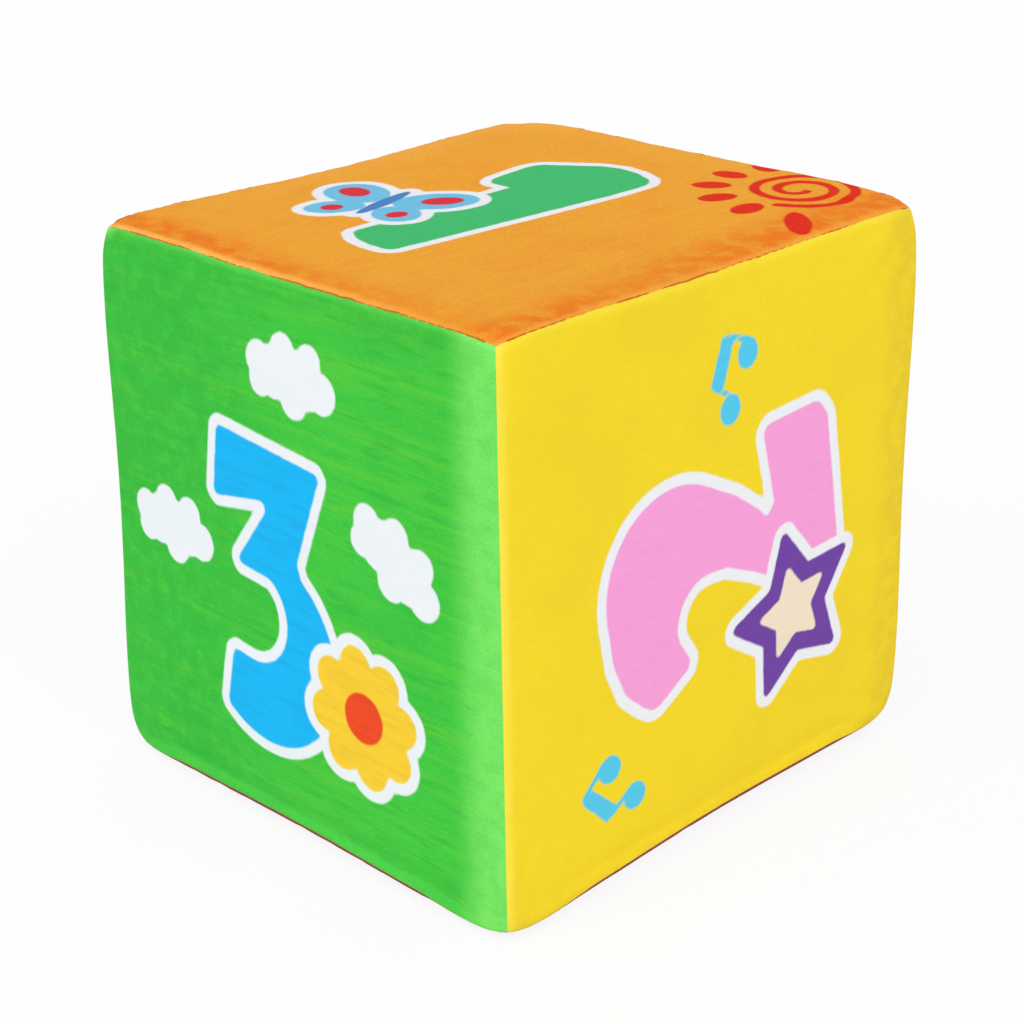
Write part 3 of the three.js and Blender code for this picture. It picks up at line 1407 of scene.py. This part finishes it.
def open_edges(quads: Array) -> Array:
    """Finds the sides of a grid that only one face has.

    Args:
        quads: corners of each face.

    Returns:
        Rows of the two ends of each such side, in the direction of its face.
    """
    pairs = [np.stack([quads[:, k], quads[:, (k + 1) % 4]], axis=1) for k in range(4)]
    sides = np.concatenate(pairs)
    size = int(sides.max()) + 1
    codes = sides[:, 0] * size + sides[:, 1]
    turned = sides[:, 1] * size + sides[:, 0]
    return sides[~np.isin(codes, turned)]


@dataclass
class PlushPanel:
    """One plush panel with its rolled border, turned-in allowances, puckered seams and print.

    Its relief is puckers along the seams, a broad swell, clumps of pile and folds that run out of
    the corners. Each fades towards the seam over a length of cloth.
    """

    face: Face
    form: DieForm
    finish: PlushFinish
    layers: list[PrintLayer]
    step: float = 1.2
    rim_fade: float = 3.0
    pucker: float = 0.14
    pucker_pitch: float = 5.5
    pucker_at: float = 4.0
    pucker_spread: float = 4.5
    pucker_fade: float = 2.0
    pucker_row: float = 40.0
    swell: float = 0.45
    swell_length: float = 38.0
    swell_from: float = 1.0
    swell_full: float = 14.0
    clump: float = 0.05
    clump_length: float = 3.4
    wrinkle: float = 0.45
    wrinkle_width: float = 3.8
    wrinkle_stretch: float = 5.0
    wrinkle_from: float = 4.0
    wrinkle_full: float = 14.0
    wrinkle_fade: float = 0.4
    wrinkle_reach: float = 42.0
    thin_to: float = 3.0
    thick_from: float = 10.0
    dyed_to: float = 2.0
    undyed_from: float = 4.0
    cloth_apart: float = 300.0
    seeds_apart: int = 10

    @property
    def name(self) -> str:
        """Name of the piece."""
        return f"plush_{self.face.word}"

    @property
    def seed(self) -> int:
        """First of the seeds of the panel's noise."""
        return self.seeds_apart * self.face.number

    def inward(self, a: Array, b: Array) -> tuple[Array, Array, Array]:
        """Measures the cloth between points and the seams of the panel.

        Args:
            a: cloth coordinates to the right.
            b: cloth coordinates upwards.

        Returns:
            Cloth from the seam beside each point, from the one above or below it, and the lesser.
        """
        in_a, in_b = self.form.reach - np.abs(a), self.form.reach - np.abs(b)
        return in_a, in_b, np.minimum(in_a, in_b)

    def relief(self, a: Array, b: Array) -> Array:
        """How far the pile stands off the plain form.

        Args:
            a: cloth coordinates to the right.
            b: cloth coordinates upwards.

        Returns:
            The offset along the normal, none at the seams.
        """
        in_a, in_b, rim = self.inward(a, b)
        open_cloth = smooth_step(self.swell_from, self.swell_full, rim)
        off_seam = smooth_step(0, self.rim_fade, rim)
        out = self.swell * open_cloth * ClothNoise(self.seed).at(a, b, self.swell_length)
        out += self.clump * off_seam * ClothNoise(self.seed + 1).at(a, b, self.clump_length)
        for shift, (inward, along, across) in enumerate(((in_a, b, a), (in_b, a, b))):
            noise = ClothNoise(self.seed + 2 + shift)
            ripple = noise.at(along, np.sign(across) * self.pucker_row, self.pucker_pitch)
            band = np.exp(-(((inward - self.pucker_at) / self.pucker_spread) ** 2))
            band = band * smooth_step(0, self.pucker_fade, rim)
            out += self.pucker * band * ripple
        for side_a, side_b in product((-1, 1), repeat=2):
            out += self.wrinkle * off_seam * self.corner_wrinkles(a, b, side_a, side_b)
        return np.minimum(out, 0) if self.face is Face.BOTTOM else out

    def corner_wrinkles(self, a: Array, b: Array, side_a: int, side_b: int) -> Array:
        """Fine folds that run out of one corner of the panel.

        Args:
            a: cloth coordinates to the right.
            b: cloth coordinates upwards.
            side_a: 1 for a corner on the right, -1 on the left.
            side_b: 1 for a corner at the top, -1 at the bottom.

        Returns:
            The folds, from -1 to 1.
        """
        from_a, from_b = self.form.reach - side_a * a, self.form.reach - side_b * b
        away = np.hypot(from_a, from_b)
        turned = np.arctan2(from_b, from_a) * self.wrinkle_reach / 2
        noise = ClothNoise(self.seed + 4 + side_a + 2 * side_b)
        folds = noise.at(turned, away / self.wrinkle_stretch, self.wrinkle_width)
        start = smooth_step(self.wrinkle_from, self.wrinkle_full, away)
        end = smooth_step(self.wrinkle_fade * self.wrinkle_reach, self.wrinkle_reach, away)
        return folds * start * (1 - end)

    def grid(self) -> tuple[Array, Array, Array]:
        """Lays the cloth out in squares, without those beyond both seams of a corner.

        Returns:
            Cloth coordinates to the right and upwards, and the corners of each square.
        """
        stations = self.form.stations(self.step)
        count = len(stations)
        a, b = (places.ravel() for places in np.meshgrid(stations, stations, indexing="ij"))
        index = np.arange(count * count).reshape(count, count)
        corners = [index[:-1, :-1], index[1:, :-1], index[1:, 1:], index[:-1, 1:]]
        quads = np.stack(corners, axis=-1).reshape(-1, 4)
        beyond_a = np.abs(a[quads]).mean(axis=1) > self.form.reach
        beyond_b = np.abs(b[quads]).mean(axis=1) > self.form.reach
        used, quads = np.unique(quads[~(beyond_a & beyond_b)], return_inverse=True)
        return a[used], b[used], quads.reshape(-1, 4)

    def build(self) -> bpy.types.Object:
        """Makes the mesh: the pile side, the back of the cloth and the raw edges between them.

        Returns:
            The panel.
        """
        a, b, quads = self.grid()
        outer = self.form.surface(a, b)
        normals = point_normals(outer, quads)
        outer = outer + normals * self.relief(a, b)[:, None]
        thick = smooth_step(self.thin_to, self.thick_from, self.inward(a, b)[2])
        depth = self.form.fold_fabric + (self.form.fabric - self.form.fold_fabric) * thick
        back = outer - normals * depth[:, None]
        size = len(outer)
        sides = open_edges(quads)
        edges = np.stack([sides[:, 1], sides[:, 0], sides[:, 0] + size, sides[:, 1] + size], axis=1)
        faces = np.concatenate([quads, quads[:, ::-1] + size, edges])
        points = np.concatenate([outer, back]) @ self.face.axes
        piece = linked(self.name, self.form.placed(points), faces)
        self.mark(piece, a, b)
        return piece

    def mark(self, piece: bpy.types.Object, a: Array, b: Array) -> None:
        """Stores what the material reads at each point: its place on the cloth, strips of painted
        highlight and shade, and inks.

        Args:
            piece: the panel, with the points of its pile side before those of its back.
            a: cloth coordinates to the right.
            b: cloth coordinates upwards.
        """
        place = np.stack([a + self.cloth_apart * self.face.number, b, np.zeros_like(a)], axis=1)
        carry(piece, "cloth", np.concatenate([place, place]))
        in_a, in_b, _ = self.inward(a, b)
        corner_dyed = 1 - smooth_step(self.dyed_to, self.undyed_from, np.maximum(in_a, in_b))
        carry(piece, "pile", np.concatenate([np.ones_like(a), corner_dyed]))
        # The paler strips hold painted highlight, and the deeper strips hold painted shade.
        for name, bands in (("paler_and_lit", self.finish.paler_and_lit), ("deeper_and_shaded", self.finish.deeper_and_shaded)):
            weights = [band.weight(self.face, self.form.reach, a, b) for band in bands]
            shares = sum(weights, np.zeros_like(a))
            carry(piece, name, np.tile(np.clip(shares, 0, 1), 2))
        for layer in self.layers:
            carry(piece, layer.name, np.tile(layer.shape.distance(a, b), 2))

    def dress(self, piece: bpy.types.Object, rests_on: str) -> None:
        """Gives the panel its material and its place in the frame.

        Args:
            piece: the panel.
            rests_on: name of the foam under it; not used.
        """
        piece.data.materials.append(self.finish.made(self.name, self.layers))
        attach(piece, BODY)
        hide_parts(f"{self.face.word}_panel")


@dataclass
class FoamBlock:
    """The foam block inside the cover, pressed in along the seams."""

    form: DieForm
    finish: FoamFinish = FoamFinish()
    name: str = "foam_block"
    node: str = "foam_core"
    voxel: float = 2.4
    soften: float = 0.5
    soften_rounds: int = 3
    roughen: float = 0.12
    cell: float = 2.6
    seed: int = 91

    def build(self) -> bpy.types.Object:
        """Makes the block from its solid, softened at the edges of its channels.

        Returns:
            The block.
        """
        rough = bpy.data.objects.new("foam_rough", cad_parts[self.node].data.copy())
        bpy.context.scene.collection.objects.link(rough)
        remesh = rough.modifiers.new("even_faces", "REMESH")
        remesh.mode = "VOXEL"
        remesh.voxel_size = self.voxel * MM
        soften = rough.modifiers.new("soft_edges", "SMOOTH")
        soften.factor = self.soften
        soften.iterations = self.soften_rounds
        graph = bpy.context.evaluated_depsgraph_get()
        mesh = bpy.data.meshes.new_from_object(rough.evaluated_get(graph))
        bpy.data.objects.remove(rough)
        size = len(mesh.vertices)
        points, normals = np.zeros(size * 3), np.zeros(size * 3)
        mesh.vertices.foreach_get("co", points)
        mesh.vertices.foreach_get("normal", normals)
        points = points.reshape(-1, 3) / MM - [0, 0, self.form.half]
        x, y, z = points.T
        noise = ClothNoise(self.seed).at(x + z, y - z, self.cell)
        points += normals.reshape(-1, 3) * (noise - 1)[:, None] * self.roughen
        mesh.vertices.foreach_set("co", self.form.placed(points).ravel())
        mesh.materials.clear()
        mesh.update()
        piece = bpy.data.objects.new(self.name, mesh)
        bpy.context.scene.collection.objects.link(piece)
        return piece

    def dress(self, piece: bpy.types.Object) -> None:
        """Gives the foam its material and its place in the frame.

        Args:
            piece: the foam.
        """
        piece.data.materials.append(self.finish.made(self.name))
        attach(piece, BODY)
        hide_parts(self.node)


@dataclass
class SeamStitches:
    """The row of stitches that shows in the crease of one seam."""

    first: Face
    second: Face
    form: DieForm
    lift: float
    seed: int
    finish: ThreadFinish = ThreadFinish()
    thread: float = 0.4
    pitch: float = 3.0
    stop: float = 2.5
    rise: float = 0.14
    waver: float = 0.3
    waver_length: float = 8.0
    sway: float = 0.06
    hump: float = 0.7
    sides: int = 8
    rings_in_stitch: int = 8
    seam_points: int = 400

    @property
    def name(self) -> str:
        """Name of the piece."""
        return f"stitches_{self.first.word}_{self.second.word}"

    def route(self) -> tuple[Array, Array]:
        """Follows the thread from one end of the seam to the other.

        Returns:
            Distances along the seam, and rows of places along it, out of it and across it.
        """
        reach = np.linspace(-self.form.reach, self.form.reach, self.seam_points)
        seam = self.form.surface(np.full_like(reach, self.form.reach), reach)
        out = (seam[:, 0] + seam[:, 2]) / math.sqrt(2)
        end = seam[-1, 1] - self.stop
        stitches = round(2 * end / self.pitch)
        along = np.linspace(-end, end, stitches * self.rings_in_stitch + 1)
        phase = (along + end) / (2 * end) * stitches * math.pi
        tension = ClothNoise(self.seed).at(along, np.zeros_like(along), self.waver_length)
        height = np.interp(along, seam[:, 1], out) + self.lift + self.waver * tension
        height += self.rise * (np.abs(np.sin(phase)) ** self.hump - 1)
        return along, np.stack([along, height, self.sway * tension * np.cos(phase)], axis=1)

    def build(self) -> bpy.types.Object:
        """Makes the thread as a tube along its route.

        Returns:
            The stitches.
        """
        along, route = self.route()
        turns = np.arange(self.sides) * 2 * math.pi / self.sides
        circle = np.stack([np.zeros_like(turns), np.cos(turns), np.sin(turns)], axis=1)
        local = (route[:, None, :] + circle * self.thread / 2).reshape(-1, 3)
        outward = (self.first.normal + self.second.normal) / math.sqrt(2)
        across = (self.first.normal - self.second.normal) / math.sqrt(2)
        axes = np.stack([np.cross(self.first.normal, self.second.normal), outward, across])
        faces = []
        for ring in range(len(along) - 1):
            for side in range(self.sides):
                here = ring * self.sides + side
                after = ring * self.sides + (side + 1) % self.sides
                faces.append([here, after, after + self.sides, here + self.sides])
        last = (len(along) - 1) * self.sides
        faces.append(list(range(self.sides))[::-1])
        faces.append(list(range(last, last + self.sides)))
        if np.linalg.det(axes) < 0:
            faces = [face[::-1] for face in faces]
        piece = linked(self.name, self.form.placed(local @ axes), faces)
        carry(piece, "cloth", local)
        return piece

    def dress(self, piece: bpy.types.Object) -> None:
        """Gives the stitches their material and their place in the frame.

        Args:
            piece: the stitches.
        """
        piece.data.materials.append(self.finish.made(self.name))
        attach(piece, BODY)
        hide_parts(f"seam_thread_{self.first.word}_{self.second.word}")


SIDES = (Face.FRONT, Face.BACK, Face.RIGHT, Face.LEFT)


class PanelPlan(Enum):
    """The finish and the print of the panel on each face."""

    TOP = (
        Face.TOP,
        PlushFinish(
            "orange_plush",
            ground=srgb(239, 164, 46),
            deep=srgb(238, 122, 18),
            pale=srgb(253, 190, 92),
            nap=0.2,
            grain=0.12,
            relief=0.9,
            sheen=0.1,
            streak=0.16,
            streak_tone=srgb(246, 174, 62),
            streaks_up=True,
            # Paler strips: painted highlight where the nap of the rolled edges catches light, strongest
            # along the front seam.
            paler_and_lit=(
                SeamBand(Face.FRONT, 2.8, 0.9, near=Face.LEFT, run=170),
                SeamBand(Face.RIGHT, 2.4, 0.4),
                SeamBand(Face.BACK, 18, 0.16, near=Face.LEFT, run=140),
                SeamBand(Face.LEFT, 20, 0.26, near=Face.BACK, run=150),
            ),
            # Deeper strips: darker along the right and front seams, part nap and part painted shade.
            deeper_and_shaded=(
                SeamBand(Face.RIGHT, 22, 1.0, near=Face.BACK, run=160),
                SeamBand(Face.RIGHT, 14, 0.8, near=Face.FRONT, run=55),
                SeamBand(Face.FRONT, 13, 0.75, near=Face.LEFT, run=190),
                SeamBand(Face.FRONT, 20, 0.5, near=Face.LEFT, run=90),
            ),
            deep_floor=0.35,
        ),
        top_print,
    )
    BOTTOM = (
        Face.BOTTOM,
        PlushFinish(
            "red_plush",
            ground=srgb(220, 80, 100),
            # Painted shade: deep is a dark brown that the deeper strips lay almost solidly along the
            # four side seams, a dark line standing in for the contact shadow under the bottom edges.
            deep=srgb(128, 70, 64),
            pale=srgb(236, 130, 142),
            nap=0.15,
            deeper_and_shaded=tuple(SeamBand(side, 5, 1.0) for side in SIDES),
            deep_floor=0.9,
        ),
        bottom_print,
    )
    FRONT = (
        Face.FRONT,
        PlushFinish(
            "green_plush",
            ground=srgb(62, 198, 64),
            deep=srgb(46, 180, 58),
            pale=srgb(130, 235, 108),
            nap=0.4,
            tufts=0.1,
            grain=0.1,
            streak=0.6,
            streak_tone=srgb(92, 204, 58),
            wear=0.35,
            # Paler strips: painted highlight along the rolled right edge, where it turns to the key
            # light, and at the top left corner; pile opened along the top and bottom seams.
            paler_and_lit=(
                SeamBand(Face.RIGHT, 17, 0.8),
                SeamBand(Face.TOP, 1.8, 0.4),
                SeamBand(Face.TOP, 4, 0.7, near=Face.LEFT, run=8),
                SeamBand(Face.BOTTOM, 7, 0.15),
            ),
            # Deeper strips: painted shade towards the left seam and along the top seam near the right.
            deeper_and_shaded=(
                SeamBand(Face.LEFT, 90, 0.7),
                SeamBand(Face.TOP, 10, 0.6, near=Face.RIGHT, run=120),
            ),
        ),
        front_print,
    )
    BACK = (
        Face.BACK,
        PlushFinish(
            "purple_plush",
            ground=srgb(156, 118, 210),
            deep=srgb(138, 98, 196),
            pale=srgb(184, 152, 226),
        ),
        back_print,
    )
    RIGHT = (
        Face.RIGHT,
        PlushFinish(
            "yellow_plush",
            ground=srgb(243, 215, 38),
            deep=srgb(228, 198, 44),
            pale=srgb(252, 230, 84),
            nap=0.25,
            tufts=0.12,
            grain=0.025,
            # Paler strips along the front and top seams; the deeper strips are darker towards the back
            # and bottom seams.
            paler_and_lit=(SeamBand(Face.FRONT, 3.4, 0.6), SeamBand(Face.TOP, 3, 0.3)),
            deeper_and_shaded=(SeamBand(Face.BACK, 18, 0.8), SeamBand(Face.BOTTOM, 5, 0.4)),
        ),
        right_print,
    )
    LEFT = (
        Face.LEFT,
        PlushFinish(
            "blue_plush",
            ground=srgb(86, 190, 236),
            deep=srgb(66, 174, 226),
            pale=srgb(136, 212, 242),
        ),
        left_print,
    )

    def panel(self, form: DieForm) -> PlushPanel:
        """The panel that the plan describes.

        Args:
            form: the sewn form.

        Returns:
            The panel, not yet built.
        """
        face, finish, artwork = self.value
        return PlushPanel(face, form, finish, artwork())


def log_piece(piece: bpy.types.Object) -> None:
    """Logs that a piece is built and dressed."""
    LOG.info("%s: %d points", piece.name, len(piece.data.vertices))


@dataclass
class SoftDie:
    """The whole die: foam, panels and stitches."""

    form: DieForm
    open_lift: float = 0.22
    closed_lift: float = -0.3
    stitch_seed: int = 200

    def build(self) -> None:
        """Builds and dresses every piece."""
        foam = FoamBlock(self.form)
        block = foam.build()
        foam.dress(block)
        log_piece(block)
        for plan in PanelPlan:
            panel = plan.panel(self.form)
            piece = panel.build()
            panel.dress(piece, foam.name)
            log_piece(piece)
        for number, (first, second) in enumerate(seam_pairs()):
            lift = self.open_lift if first is Face.TOP else self.closed_lift
            seam = SeamStitches(first, second, self.form, lift, self.stitch_seed + number)
            piece = seam.build()
            seam.dress(piece)
            log_piece(piece)


def seen_directly(tree: bpy.types.NodeTree) -> Socket:
    """Adds a switch that is 1 where the camera sees a surface itself, in gloss or through glass.

    Args:
        tree: nodes of a material or a world.

    Returns:
        The switch.
    """
    path = tree.nodes.new("ShaderNodeLightPath")
    seen = path.outputs["Is Camera Ray"]
    for ray in ("Is Glossy Ray", "Is Transmission Ray"):
        either = tree.nodes.new("ShaderNodeMath")
        either.operation = "MAXIMUM"
        tree.links.new(seen, either.inputs[0])
        tree.links.new(path.outputs[ray], either.inputs[1])
        seen = either.outputs[0]
    return seen


def direction(azimuth: float, elevation: float) -> Vector:
    """Unit direction from the object towards a place round it.

    Args:
        azimuth: degrees, 0 in front of the object and 90 on its right.
        elevation: degrees above the floor.

    Returns:
        The direction.
    """
    turn, lift = math.radians(azimuth), math.radians(elevation)
    level = math.cos(lift)
    return Vector((math.sin(turn) * level, -math.cos(turn) * level, math.sin(lift)))


@dataclass(frozen=True)
class SunLamp:
    """A broad sun lamp, and the degrees across it as the object sees it."""

    name: str
    azimuth: float
    elevation: float
    strength: float
    spread: float

    def build(self) -> None:
        """Makes the lamp."""
        light = bpy.data.lights.new(self.name, "SUN")
        light.energy = self.strength
        light.angle = math.radians(self.spread)
        lamp = bpy.data.objects.new(self.name, light)
        towards = direction(self.azimuth, self.elevation)
        lamp.rotation_euler = towards.to_track_quat("Z", "Y").to_euler()
        bpy.context.scene.collection.objects.link(lamp)


@dataclass
class Studio:
    """A pale floor under soft even light."""

    floor_side: float = 12.0
    floor_white: float = 0.9
    floor_glow: float = 0.88
    world_light: float = 0.59
    lamps: tuple[SunLamp, ...] = (
        SunLamp("key_light", azimuth=66, elevation=46, strength=1.28, spread=50),
        SunLamp("fill_light", azimuth=-22, elevation=34, strength=0.72, spread=70),
    )

    def build(self) -> None:
        """Makes the floor, the lamps and the world."""
        self.floor()
        for lamp in self.lamps:
            lamp.build()
        world = bpy.data.worlds.new("soft_studio")
        bpy.context.scene.world = world
        world.use_nodes = True
        nodes, links = world.node_tree.nodes, world.node_tree.links
        background = nodes["Background"]
        background.inputs["Color"].default_value = (1, 1, 1, 1)
        level = nodes.new("ShaderNodeMapRange")
        level.inputs["To Min"].default_value = self.world_light
        links.new(seen_directly(world.node_tree), level.inputs["Value"])
        links.new(level.outputs[0], background.inputs["Strength"])

    def floor(self) -> None:
        """Makes the floor, which looks near white and keeps the object's shadow."""
        half = self.floor_side / 2
        corners = np.array([(-half, -half, 0), (half, -half, 0), (half, half, 0), (-half, half, 0)])
        floor = linked("floor", corners, [[0, 1, 2, 3]])
        shader = Shader("pale_floor")
        shader.surface.inputs["Base Color"].default_value = (*[self.floor_white] * 3, 1)
        shader.dull(roughness=1.0, shine=0.0)
        white = shader.node("ShaderNodeEmission", {"Color": (1, 1, 1), "Strength": 1.0}).outputs[0]
        glow = shader.math("MULTIPLY", seen_directly(shader.tree), self.floor_glow)
        inputs = {"Fac": glow, "Shader": shader.surface.outputs[0], "Shader_001": white}
        blend = shader.node("ShaderNodeMixShader", inputs).outputs[0]
        shader.tree.links.new(blend, shader.tree.nodes["Material Output"].inputs["Surface"])
        floor.data.materials.append(shader.material)


@dataclass
class PhotoCamera:
    """The camera at the photograph's viewing angle."""

    form: DieForm
    azimuth: float = 46.2
    elevation: float = 22.85
    distance: float = 583.7
    lens: float = 77.5
    sensor: float = 36.0
    nearest: float = 10.0
    aside: float = 0.4
    below: float = 7.8
    roll: float = -1.5

    def build(self) -> None:
        """Makes the camera and sets it as the scene's."""
        back = direction(self.azimuth, self.elevation)
        turn = math.radians(self.azimuth)
        right = Vector((math.cos(turn), math.sin(turn), 0))
        up = back.cross(right)
        aim = Vector((0, 0, self.form.half)) + right * self.aside - up * self.below
        data = bpy.data.cameras.new("photo_camera")
        data.lens = self.lens
        data.sensor_width = self.sensor
        data.clip_start = self.nearest * MM
        camera = bpy.data.objects.new("photo_camera", data)
        axes = Matrix((right, up, back)).transposed() @ Matrix.Rotation(math.radians(self.roll), 3, "Z")
        camera.matrix_world = Matrix.Translation((aim + back * self.distance) * MM) @ axes.to_4x4()
        bpy.context.scene.collection.objects.link(camera)
        bpy.context.scene.camera = camera


def main() -> None:
    """Builds the die, the studio and the camera."""
    logging.basicConfig(level=logging.INFO, format="%(message)s")
    bpy.context.scene.view_settings.view_transform = "Standard"
    low, high = CAD_BOX
    form = DieForm(edge=(high.z - low.z) / MM)
    PhotoCamera(form).build()
    SoftDie(form).build()
    Studio().build()


if __name__ == "__main__":
    main()
